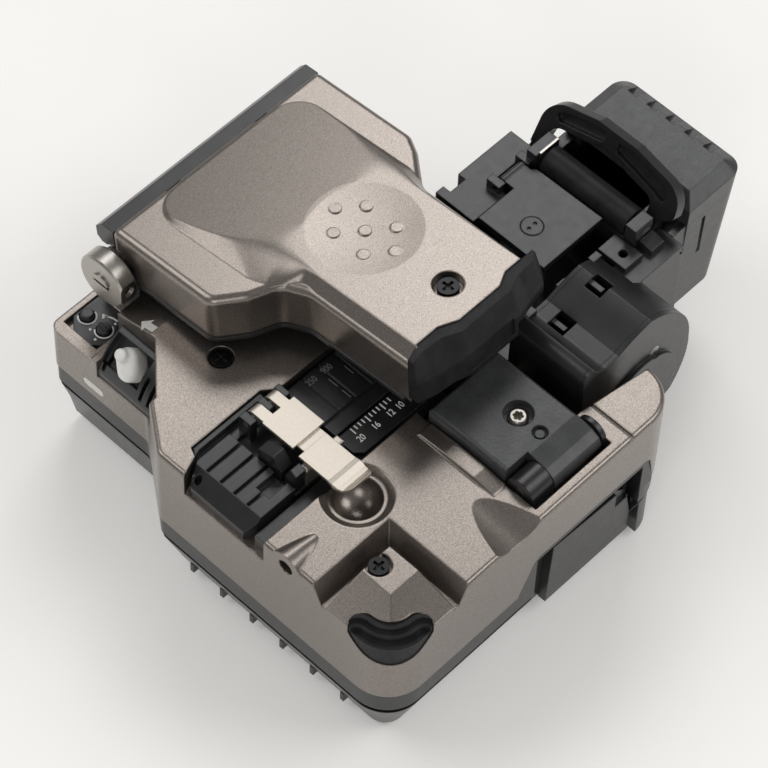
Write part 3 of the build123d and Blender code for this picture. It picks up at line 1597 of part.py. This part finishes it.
def write_adapter():
    """Write the fibre adapter, the guard block and the blade unit."""
    save("adapter_plate", adapter_plate())
    save("adapter_jaws", *adapter_jaws())
    save("adapter_bar", adapter_bar())
    save("leaf_pin", leaf_pin())
    save("clamp_leaf", clamp_leaf())
    save("block_lugs", *block_lugs())
    save("block_pin", block_pin())
    save("guard_block", guard_block())
    save("block_screw", block_screw())
    save("carriage_rods", *carriage_rods())
    save("carriage", carriage())
    save("blade_disc", blade_disc())
    save("blade_axle", blade_axle())


def write_collector():
    """Write the scrap collector."""
    save("collector_frame", collector_frame())
    save("gear_cover", gear_cover())
    save("gear_end_plate", gear_end_plate())
    save("cover_strip", cover_strip())
    save("drum_axle", drum_axle())
    save("drive_drum", drive_drum())
    save("shaft_ear", shaft_ear())
    save("bin_catch", bin_catch())
    save("upper_roller", roller_sleeve(1))
    save("upper_roller_shaft", roller_shaft(1))
    save("lower_roller", roller_sleeve(-1))
    save("lower_roller_shaft", roller_shaft(-1))
    save("side_leaf", side_leaf())
    save("path_cover", path_cover())
    save("path_pin", path_pin())
    save("path_screw", path_screw())
    save("bin_body", bin_body())
    save("bin_cap", bin_cap())
    save("bail", bail())
    save("bail_pins", *bail_pins())


write_base()
write_lid()
write_adapter()
write_collector()
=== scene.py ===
import json
import math

import bmesh
import bpy
from mathutils import Matrix, Vector


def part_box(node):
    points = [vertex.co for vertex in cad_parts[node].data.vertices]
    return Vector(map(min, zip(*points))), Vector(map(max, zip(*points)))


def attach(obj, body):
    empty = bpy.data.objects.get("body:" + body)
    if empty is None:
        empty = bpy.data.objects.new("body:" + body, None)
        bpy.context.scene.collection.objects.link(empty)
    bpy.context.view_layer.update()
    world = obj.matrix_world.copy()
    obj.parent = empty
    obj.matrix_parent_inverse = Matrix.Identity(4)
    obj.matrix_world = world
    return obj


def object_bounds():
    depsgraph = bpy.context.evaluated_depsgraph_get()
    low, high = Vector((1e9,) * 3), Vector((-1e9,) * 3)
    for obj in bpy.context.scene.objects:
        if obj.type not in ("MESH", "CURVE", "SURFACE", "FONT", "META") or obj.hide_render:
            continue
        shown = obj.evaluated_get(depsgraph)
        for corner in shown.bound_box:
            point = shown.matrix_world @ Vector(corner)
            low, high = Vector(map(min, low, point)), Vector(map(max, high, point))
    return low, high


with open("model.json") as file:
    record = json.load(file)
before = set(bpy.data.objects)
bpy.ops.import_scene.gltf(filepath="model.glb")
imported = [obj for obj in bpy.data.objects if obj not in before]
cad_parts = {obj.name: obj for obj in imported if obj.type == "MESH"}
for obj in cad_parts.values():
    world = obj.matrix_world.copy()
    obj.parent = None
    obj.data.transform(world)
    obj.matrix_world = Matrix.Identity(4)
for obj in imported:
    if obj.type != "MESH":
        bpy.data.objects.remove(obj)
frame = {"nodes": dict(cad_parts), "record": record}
cad_low, cad_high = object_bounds()
nodes = frame["nodes"]
MM = 0.001
RIGHT = Vector((1, 0, 0))
BACK = Vector((0, 1, 0))

# Camera, solved from the parallel edges of the housing
CAMERA_PLACE = (-237.4, -207.8, 579.8)
CAMERA_AZIMUTH = -48.18
CAMERA_ELEVATION = 55.62
CAMERA_ROLL = 2.61
LENS = 174.3
SENSOR = 36.0

# Heights of printed marks above what carries them
PRINT_LIFT = 0.01
PRINT_THICKNESS = 0.03
DIGIT_WIDTH = 0.8

# Length scale: place of its first tick, spacing, and the rows of ticks and numbers
SCALE_FIRST_X = 28.8
SCALE_STEP = 0.93
SCALE_TICKS = 11
TICK_WIDTH = 0.26
TICK_FRONT_Y = 37.9
NUMBER_Y = 35.1
NUMBER_SIZE = 1.9

# Arrow on the ramp beside the lock slider
ARROW_PLACE = (18.0, 77.5, 38.49)
RAMP_TILT = math.radians(15.0)

# Arcs round the two switches, and what is printed outside the selector's arc
ARC_RADIUS = 1.7
ARC_WIDTH = 0.3
DOT_RADIUS = 2.5
DOT_SIZE = 0.26
TAIL_RADIUS = 3.1
TAIL_WIDTH = 0.35

# Guide plate: row of printed numbers, and thin strips painted on its step edges as highlights
GUIDE_NUMBER_Y = 49.2
EDGE_GLINT_WIDTH = 0.2
EDGE_GLINT_LENGTH = 2.2

# Oval on the left wall
OVAL_PLACE = (9.8, 84.0, 21.0)
OVAL_LENGTH = 5.2
OVAL_WIDTH = 1.9

# Rounding of edges in the shading
EDGE_SOFTNESS = 0.32
PAINT_SOFTNESS = 0.45
PAINT_GRAIN = 6500

# Bend across the lid's top, shaded over a wide band, with heights measured where the lid bends
BEND_Y = 17.6
BEND_REACH = 10.0
BEND_LOW = 53.4
BEND_HIGH = 54.6
BEND_SOFTNESS = 4.5
LID_SLOPE = math.tan(math.radians(5.5))

# Thumb dish, kept out of the bend's band and shaded partly as if it were flat
DISH_PLACE = (-8.0, 8.8)
DISH_RADIUS = 10.9
DISH_RIM = 0.3
DISH_MARGIN = 2.5
DISH_CALM = 0.5

# Sockets of the Mix node for vectors
MIX_SHARE = 0
MIX_FIRST = 4
MIX_SECOND = 5
MIX_RESULT = 1

# Soft boxes as place and size in millimetres, with power in watts
LIGHT_PLACES = {
    "sheen": ((545, 465, 825), 480, 2.55),
    "key": ((-380, 560, 780), 560, 2.2),
    "front": ((480, -560, 720), 560, 2.6),
    "fill": ((-620, -420, 460), 420, 1.2),
}
WORLD_LEVEL = 0.3
FLOOR_LIFT = 0.15


def place(x, y, z):
    """Point from millimetres right of the left wall, behind the front wall and above the table."""
    return Vector((cad_low.x + x * MM, cad_low.y + y * MM, z * MM))


def surface(name, color, roughness, metallic=0.0, specular=0.5, coat=0.0):
    """New material with its main shader values set."""
    material = bpy.data.materials.new(name)
    material.use_nodes = True
    shader = material.node_tree.nodes["Principled BSDF"]
    shader.inputs["Base Color"].default_value = (*color, 1)
    shader.inputs["Roughness"].default_value = roughness
    shader.inputs["Metallic"].default_value = metallic
    shader.inputs["Specular IOR Level"].default_value = specular
    shader.inputs["Coat Weight"].default_value = coat
    shader.inputs["Coat Roughness"].default_value = 0.25
    return material


def noise(material, scale, detail=2.0, stretch=(1, 1, 1)):
    """Noise texture over the object's own place, with its scale in repeats per metre."""
    tree = material.node_tree
    coordinates = tree.nodes.new("ShaderNodeTexCoord")
    mapping = tree.nodes.new("ShaderNodeMapping")
    mapping.inputs["Scale"].default_value = stretch
    texture = tree.nodes.new("ShaderNodeTexNoise")
    texture.inputs["Scale"].default_value = scale
    texture.inputs["Detail"].default_value = detail
    tree.links.new(coordinates.outputs["Object"], mapping.inputs["Vector"])
    tree.links.new(mapping.outputs["Vector"], texture.inputs["Vector"])
    return texture


def vary_color(material, texture, dark, light, low=0.35, high=0.65):
    """Let the colour drift between two tints."""
    tree = material.node_tree
    ramp = tree.nodes.new("ShaderNodeValToRGB")
    ramp.color_ramp.elements[0].position = low
    ramp.color_ramp.elements[0].color = (*dark, 1)
    ramp.color_ramp.elements[1].position = high
    ramp.color_ramp.elements[1].color = (*light, 1)
    tree.links.new(texture.outputs["Fac"], ramp.inputs["Fac"])
    tree.links.new(ramp.outputs["Color"], tree.nodes["Principled BSDF"].inputs["Base Color"])


def vary_roughness(material, texture, low, high):
    """Let the roughness drift between two values."""
    tree = material.node_tree
    span = tree.nodes.new("ShaderNodeMapRange")
    span.inputs["To Min"].default_value = low
    span.inputs["To Max"].default_value = high
    tree.links.new(texture.outputs["Fac"], span.inputs["Value"])
    tree.links.new(span.outputs["Result"], tree.nodes["Principled BSDF"].inputs["Roughness"])


def math_node(tree, operation, first, second):
    """Arithmetic on two values, each a number or an output."""
    node = tree.nodes.new("ShaderNodeMath")
    node.operation = operation
    for socket, value in zip(node.inputs, (first, second)):
        if isinstance(value, (int, float)):
            socket.default_value = value
        else:
            tree.links.new(value, socket)
    return node.outputs["Value"]


def fade(tree, value, start, end):
    """Share that grows from 0 at the start to 1 at the end."""
    span = tree.nodes.new("ShaderNodeMapRange")
    span.inputs["From Min"].default_value = start
    span.inputs["From Max"].default_value = end
    tree.links.new(value, span.inputs["Value"])
    return span.outputs["Result"]


def distance_from(tree, parts, middle):
    """Level distance of a point from a middle given in millimetres."""
    squares = [math_node(tree, "POWER", math_node(tree, "SUBTRACT", parts.outputs[axis], value * MM), 2)
               for axis, value in zip("XY", middle)]
    return math_node(tree, "SQRT", math_node(tree, "ADD", *squares), 0)


def blend_bend(material, bevel, bump):
    """Round the bend across the lid's top widely, by where a point lies on the object."""
    tree = material.node_tree
    coordinates = tree.nodes.new("ShaderNodeTexCoord")
    parts = tree.nodes.new("ShaderNodeSeparateXYZ")
    tree.links.new(coordinates.outputs["Object"], parts.inputs["Vector"])
    offset = math_node(tree, "SUBTRACT", parts.outputs["Y"], BEND_Y * MM)
    near = fade(tree, math_node(tree, "ABSOLUTE", offset, 0), BEND_REACH * MM, 0)
    height = math_node(tree, "ADD", parts.outputs["Z"], math_node(tree, "MULTIPLY", offset, LID_SLOPE))
    high = fade(tree, height, BEND_LOW * MM, BEND_HIGH * MM)
    from_dish = distance_from(tree, parts, DISH_PLACE)
    outside = fade(tree, from_dish, DISH_RADIUS * MM, (DISH_RADIUS + DISH_MARGIN) * MM)
    inside = fade(tree, from_dish, (DISH_RADIUS + DISH_RIM) * MM, DISH_RADIUS * MM)
    share = math_node(tree, "MULTIPLY", math_node(tree, "MULTIPLY", near, high), outside)
    extra = math_node(tree, "MULTIPLY", share, BEND_SOFTNESS * MM)
    bevel.samples = 10
    tree.links.new(math_node(tree, "ADD", extra, PAINT_SOFTNESS * MM), bevel.inputs["Radius"])
    calm_dish(tree, bevel, bump, math_node(tree, "MULTIPLY", high, inside))


def calm_dish(tree, bevel, bump, share):
    """Turn the thumb dish's shading part of the way to the lid's own plane."""
    plane = tree.nodes.new("ShaderNodeVectorTransform")
    plane.vector_type = "NORMAL"
    plane.convert_from = "OBJECT"
    plane.convert_to = "WORLD"
    plane.inputs["Vector"].default_value = (0, LID_SLOPE, 1)
    mix = tree.nodes.new("ShaderNodeMix")
    mix.data_type = "VECTOR"
    tree.links.new(math_node(tree, "MULTIPLY", share, DISH_CALM), mix.inputs[MIX_SHARE])
    tree.links.new(bevel.outputs["Normal"], mix.inputs[MIX_FIRST])
    tree.links.new(plane.outputs["Vector"], mix.inputs[MIX_SECOND])
    unit = tree.nodes.new("ShaderNodeVectorMath")
    unit.operation = "NORMALIZE"
    tree.links.new(mix.outputs[MIX_RESULT], unit.inputs[0])
    tree.links.new(unit.outputs["Vector"], bump.inputs["Normal"])


def relief(material, texture, height, softness=EDGE_SOFTNESS):
    """Fine relief on top of softly rounded edges, both in millimetres."""
    tree = material.node_tree
    bevel = tree.nodes.new("ShaderNodeBevel")
    bevel.samples = 6
    bevel.inputs["Radius"].default_value = softness * MM
    bump = tree.nodes.new("ShaderNodeBump")
    bump.inputs["Strength"].default_value = 1.0
    bump.inputs["Distance"].default_value = height * MM
    tree.links.new(bevel.outputs["Normal"], bump.inputs["Normal"])
    tree.links.new(texture.outputs["Fac"], bump.inputs["Height"])
    tree.links.new(bump.outputs["Normal"], tree.nodes["Principled BSDF"].inputs["Normal"])
    return bevel, bump


def bronze_paint():
    """Warm grey-brown metallic lacquer with a fine sparkle."""
    material = surface("bronze_paint", (0.24, 0.21, 0.186), 0.29, metallic=0.9, coat=0.2)
    sparkle = noise(material, PAINT_GRAIN, detail=1.0)
    vary_color(material, sparkle, (0.18, 0.157, 0.139), (0.31, 0.274, 0.245))
    vary_roughness(material, noise(material, 4000), 0.25, 0.33)
    bevel, bump = relief(material, noise(material, PAINT_GRAIN, detail=1.0), 0.005, PAINT_SOFTNESS)
    blend_bend(material, bevel, bump)
    return material


def moulded(name, color, roughness, grain_scale, grain_height):
    """Black plastic with a moulded grain."""
    material = surface(name, color, roughness, coat=0.12)
    lighter = tuple(part * 1.45 for part in color)
    vary_color(material, noise(material, 260, detail=4.0), color, lighter)
    vary_roughness(material, noise(material, 700), roughness - 0.05, roughness + 0.08)
    relief(material, noise(material, grain_scale, detail=1.0), grain_height)
    return material


def steel(name, color, roughness, stretch=(1, 1, 1)):
    """Bare metal with fine tool marks."""
    material = surface(name, color, roughness, metallic=1.0)
    darker = tuple(part * 0.92 for part in color)
    marks = noise(material, 1800, stretch=stretch)
    vary_color(material, marks, darker, color)
    vary_roughness(material, marks, roughness - 0.04, roughness + 0.05)
    relief(material, marks, 0.0015, softness=0.15)
    return material


def rubber():
    """Soft black rubber with a dull skin."""
    material = surface("black_rubber", (0.012, 0.012, 0.013), 0.4, specular=0.2)
    vary_color(material, noise(material, 350, detail=4.0), (0.01, 0.01, 0.011), (0.018, 0.018, 0.019))
    vary_roughness(material, noise(material, 900), 0.38, 0.55)
    relief(material, noise(material, 2600), 0.008, softness=0.35)
    return material


def white_plastic():
    """Glossy white moulding."""
    material = surface("white_plastic", (0.83, 0.82, 0.79), 0.22)
    vary_color(material, noise(material, 300), (0.8, 0.79, 0.76), (0.86, 0.85, 0.82))
    relief(material, noise(material, 500), 0.01, softness=0.8)
    return material


def ink(name, color):
    """Printing ink with a slightly uneven cover; the grey one also serves for painted highlights on the
    guide plate's step edges.
    """
    material = surface(name, color, 0.55)
    vary_color(material, noise(material, 2500), tuple(part * 0.86 for part in color), color)
    return material


def make_materials():
    """Every material of the object by its slot in the record."""
    return {
        "bronze_paint": bronze_paint(),
        "black_plastic": moulded("black_plastic", (0.01, 0.0103, 0.011), 0.32, 2400, 0.007),
        "grained_plastic": moulded("grained_plastic", (0.034, 0.035, 0.036), 0.38, 1900, 0.045),
        "black_rubber": rubber(),
        "bright_steel": steel("bright_steel", (0.43, 0.41, 0.375), 0.32),
        "black_screw": steel("black_screw", (0.03, 0.03, 0.031), 0.34),
        "white_plastic": white_plastic(),
        "leaf_metal": steel("leaf_metal", (0.66, 0.605, 0.53), 0.45),
        "blade_carbide": steel("blade_carbide", (0.45, 0.45, 0.46), 0.2, stretch=(1, 6, 1)),
    }


def paint_frame(materials):
    """Give every node the material of its slot."""
    for entry in frame["record"]["subparts"]:
        mesh = nodes[entry["node"]].data
        mesh.materials.clear()
        mesh.materials.append(materials[entry["material_slot"]])


def printed(name, outline, centre, right, up, material, body="base"):
    """Thin printed mark from an outline in millimetres, laid on a surface at a centre point."""
    normal = right.cross(up)
    shape = bmesh.new()
    start = centre + normal * PRINT_LIFT * MM
    corners = [shape.verts.new(start + (right * u + up * v) * MM) for u, v in outline]
    face = shape.faces.new(corners)
    grown = bmesh.ops.extrude_face_region(shape, geom=[face])
    raised = [item for item in grown["geom"] if isinstance(item, bmesh.types.BMVert)]
    bmesh.ops.translate(shape, verts=raised, vec=normal * PRINT_THICKNESS * MM)
    bmesh.ops.recalc_face_normals(shape, faces=shape.faces)
    mesh = bpy.data.meshes.new(name)
    shape.to_mesh(mesh)
    shape.free()
    mesh.materials.append(material)
    piece = bpy.data.objects.new(name, mesh)
    bpy.context.scene.collection.objects.link(piece)
    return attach(piece, body)


def printed_number(name, text, size, centre, right, up, material, body="base"):
    """Printed number in narrow digits with its middle at a point."""
    curve = bpy.data.curves.new(name, "FONT")
    curve.body = text
    curve.size = size * MM
    curve.align_x = "CENTER"
    curve.align_y = "CENTER"
    curve.extrude = PRINT_THICKNESS / 2 * MM
    curve.offset = size * 0.012 * MM
    source = bpy.data.objects.new(name + "_curve", curve)
    bpy.context.scene.collection.objects.link(source)
    bpy.context.view_layer.update()
    mesh = bpy.data.meshes.new_from_object(source.evaluated_get(bpy.context.evaluated_depsgraph_get()))
    bpy.data.objects.remove(source)
    normal = right.cross(up)
    turn = Matrix((right * DIGIT_WIDTH, up, normal)).transposed().to_4x4()
    lift = normal * (PRINT_LIFT + PRINT_THICKNESS / 2) * MM
    mesh.transform(Matrix.Translation(centre + lift) @ turn)
    mesh.materials.clear()
    mesh.materials.append(material)
    mesh.name = name
    piece = bpy.data.objects.new(name, mesh)
    bpy.context.scene.collection.objects.link(piece)
    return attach(piece, body)


def arc_outline(radius, width, start, end, steps=18):
    """Outline of a band along an arc, angles in degrees."""
    angles = [math.radians(start + (end - start) * step / steps) for step in range(steps + 1)]
    outer = [((radius + width / 2) * math.cos(a), (radius + width / 2) * math.sin(a)) for a in angles]
    inner = [((radius - width / 2) * math.cos(a), (radius - width / 2) * math.sin(a)) for a in angles]
    return outer + inner[::-1]


def bar_outline(width, length):
    """Outline of an upright bar."""
    u = width / 2
    v = length / 2
    return [(-u, -v), (u, -v), (u, v), (-u, v)]


def on_top(node, x, y):
    """Point on the top of a node, from millimetres right of the left wall and behind the front wall."""
    point = place(x, y, 0)
    point.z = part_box(node)[1].z
    return point


def oval_outline(length, width, steps=12):
    """Outline of a bar with round ends."""
    half = (length - width) / 2
    right = [(half + width / 2 * math.cos(a), width / 2 * math.sin(a))
             for a in (math.radians(-90 + 180 * step / steps) for step in range(steps + 1))]
    return right + [(-u, -v) for u, v in right]


def scale_marks(white):
    """Numbers and ticks of the length scale in front of the fibre line."""
    for index in range(SCALE_TICKS):
        length = 1.5 if index % 4 == 0 else 1.0
        centre = on_top("scale_plate", SCALE_FIRST_X + index * SCALE_STEP, TICK_FRONT_Y - length / 2)
        printed(f"scale_tick_{index}", bar_outline(TICK_WIDTH, length), centre, RIGHT, BACK, white)
    for text, ticks in (("20", 0), ("16", 4), ("12", 8), ("10", 10.5)):
        centre = on_top("scale_plate", SCALE_FIRST_X + ticks * SCALE_STEP, NUMBER_Y)
        printed_number(f"scale_number_{text}", text, NUMBER_SIZE, centre, RIGHT, BACK, white)


def deck_arrow(white):
    """White arrow beside the lock slider."""
    outline = [(-1.9, 0), (-0.2, 1.6), (-0.2, 0.75), (1.7, 0.75), (1.7, -0.75), (-0.2, -0.75), (-0.2, -1.6)]
    slope = Vector((0, -math.cos(RAMP_TILT), math.sin(RAMP_TILT)))
    printed("deck_arrow", outline, place(*ARROW_PLACE), slope, RIGHT, white)


def above(node, panel):
    """Middle of a node, at the height of the panel's top."""
    low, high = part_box(node)
    middle = (low + high) / 2
    middle.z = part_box(panel)[1].z
    return middle


def switch_marks(white):
    """Arcs and dots around the two small switches."""
    button = above("link_button", "lock_panel")
    dial = above("link_dial", "lock_panel")
    printed("button_arc", arc_outline(ARC_RADIUS, ARC_WIDTH, 127, 352), button, RIGHT, BACK, white)
    printed("dial_arc", arc_outline(ARC_RADIUS, ARC_WIDTH, 126, 348), dial, RIGHT, BACK, white)
    for index, angle in enumerate((129, 187, 351)):
        turn = math.radians(angle)
        spot = dial + Vector((math.cos(turn), math.sin(turn), 0)) * DOT_RADIUS * MM
        printed(f"dial_dot_{index}", arc_outline(DOT_SIZE / 2, DOT_SIZE, 0, 330), spot, RIGHT, BACK, white)
    printed("dial_arrow_tail", arc_outline(TAIL_RADIUS, TAIL_WIDTH, -6, 44), dial, RIGHT, BACK, white)
    head = [(2.8, 1.7), (1.5, 2.1), (2.35, 2.9)]
    printed("dial_arrow_head", head, dial, RIGHT, BACK, white)


def guide_marks(grey):
    """Faint printed numbers on the stepped guide plate, and grey strips laid along its step edges as
    painted highlights.
    """
    for text, x in (("250", 30.6), ("900", 34.4)):
        centre = on_top("guide_plate", x, GUIDE_NUMBER_Y)
        printed_number(f"guide_number_{text}", text, NUMBER_SIZE, centre, RIGHT, BACK, grey)
    # Painted highlights: thin grey strips standing in for light caught on the guide plate's step edges.
    for index, (x, y) in enumerate(((33.1, 46.3), (33.1, 43.0), (37.1, 46.3))):
        centre = on_top("guide_plate", x, y)
        printed(f"guide_edge_glint_{index}", bar_outline(EDGE_GLINT_WIDTH, EDGE_GLINT_LENGTH), centre, RIGHT, BACK, grey)


def wall_oval(white):
    """White oval on the left wall below the lock slider."""
    outline = oval_outline(OVAL_LENGTH, OVAL_WIDTH)
    printed("wall_oval", outline, place(*OVAL_PLACE), -BACK, Vector((0, 0, 1)), white)


def make_camera():
    """Camera at the photograph's place, turned by azimuth, elevation and roll."""
    azimuth = math.radians(CAMERA_AZIMUTH)
    elevation = math.radians(CAMERA_ELEVATION)
    roll = math.radians(CAMERA_ROLL)
    back = Vector((math.sin(azimuth) * math.cos(elevation), -math.cos(azimuth) * math.cos(elevation),
                   math.sin(elevation)))
    right = Vector((0, 0, 1)).cross(back).normalized()
    up = back.cross(right)
    turned_right = math.cos(roll) * right + math.sin(roll) * up
    turned_up = -math.sin(roll) * right + math.cos(roll) * up
    data = bpy.data.cameras.new("camera")
    data.lens = LENS
    data.sensor_width = SENSOR
    data.clip_start = 0.05
    data.clip_end = 10
    camera = bpy.data.objects.new("camera", data)
    camera.matrix_world = (Matrix.Translation(place(*CAMERA_PLACE))
                           @ Matrix((turned_right, turned_up, back)).transposed().to_4x4())
    bpy.context.scene.collection.objects.link(camera)
    bpy.context.scene.camera = camera


def make_lights():
    """Large soft boxes around the table."""
    for name, (spot, size, power) in LIGHT_PLACES.items():
        data = bpy.data.lights.new(name, "AREA")
        data.shape = "SQUARE"
        data.size = size * MM
        data.energy = power
        light = bpy.data.objects.new(name, data)
        light.location = Vector(spot) * MM
        light.rotation_mode = "QUATERNION"
        light.rotation_quaternion = (-Vector(spot)).to_track_quat("-Z", "Y")
        bpy.context.scene.collection.objects.link(light)


def make_world():
    """Even white surroundings."""
    world = bpy.data.worlds.new("studio")
    world.use_nodes = True
    background = world.node_tree.nodes["Background"]
    background.inputs["Color"].default_value = (1, 1, 1, 1)
    background.inputs["Strength"].default_value = WORLD_LEVEL
    bpy.context.scene.world = world


def make_floor():
    """Pale table top."""
    bpy.ops.mesh.primitive_plane_add(size=6, location=(0, 0, 0))
    floor = bpy.context.object
    floor.name = "floor"
    material = surface("table_top", (0.95, 0.935, 0.91), 0.7, specular=0.2)
    vary_color(material, noise(material, 30), (0.94, 0.925, 0.9), (0.96, 0.945, 0.92))
    tree = material.node_tree
    rays = tree.nodes.new("ShaderNodeLightPath")
    seen = math_node(tree, "MAXIMUM", rays.outputs["Is Camera Ray"], rays.outputs["Is Glossy Ray"])
    seen = math_node(tree, "MAXIMUM", seen, rays.outputs["Is Transmission Ray"])
    shader = tree.nodes["Principled BSDF"]
    shader.inputs["Emission Color"].default_value = (1, 0.985, 0.955, 1)
    tree.links.new(math_node(tree, "MULTIPLY", seen, FLOOR_LIFT), shader.inputs["Emission Strength"])
    floor.data.materials.append(material)


def main():
    """Build the dressed object and its stage."""
    make_camera()
    paint_frame(make_materials())
    white = ink("white_ink", (0.78, 0.77, 0.74))
    scale_marks(white)
    deck_arrow(white)
    switch_marks(white)
    # Grey for the guide plate's printed numbers and for its painted step-edge highlights.
    guide_marks(ink("grey_ink_and_glint", (0.14, 0.14, 0.145)))
    wall_oval(white)
    make_floor()
    make_lights()
    make_world()
    bpy.context.scene.view_settings.view_transform = "Standard"


main()
